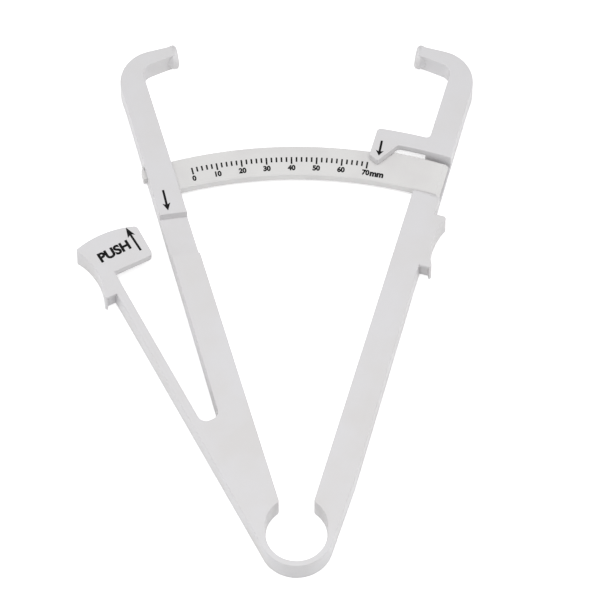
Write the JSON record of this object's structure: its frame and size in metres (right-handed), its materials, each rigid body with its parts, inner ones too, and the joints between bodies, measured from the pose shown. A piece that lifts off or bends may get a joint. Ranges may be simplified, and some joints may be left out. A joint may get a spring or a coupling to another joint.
{
  "type": "skinfold caliper",
  "caption": "One-hand skinfold caliper: two hooked arms on an open ring spring, round jaw faces, a curved sliding scale and a sprung thumb pad.",
  "frame": {"origin": "on the flat back, at the middle of the ring spring's heel", "axes": "+Y from the ring spring to the jaws, +X to the arm that slides on the scale, +Z out of the lettered front"},
  "size_m": [0.1237, 0.1866, 0.0078],
  "materials": {
    "frame_plastic": "white satin injection-moulded plastic",
    "scale_plastic": "white satin injection-moulded plastic with printed black graduations"
  },
  "bodies": {
    "left_frame": {"left_arm": "frame_plastic", "scale_arc": "scale_plastic", "spring_ring": "frame_plastic", "lever_leaf": "frame_plastic"},
    "right_frame": {"right_arm": "frame_plastic"},
    "thumb_lever": {"press_pad": "frame_plastic"}
  },
  "joints": [
    {"name": "jaw_hinge", "type": "hinge", "parent": "left_frame", "child": "right_frame", "pos_m": [0, 0.00535, 0], "axis": [0, 0, 1], "range_deg": [0, 24], "stiffness_Nm_per_rad": 0.4, "deforming": ["spring_ring"]},
    {"name": "lever_hinge", "type": "hinge", "parent": "left_frame", "child": "thumb_lever", "pos_m": [-0.02757, 0.04869, 0], "axis": [0, 0, -1], "range_deg": [0, 16], "stiffness_Nm_per_rad": 0.9, "deforming": ["lever_leaf"]}
  ]
}
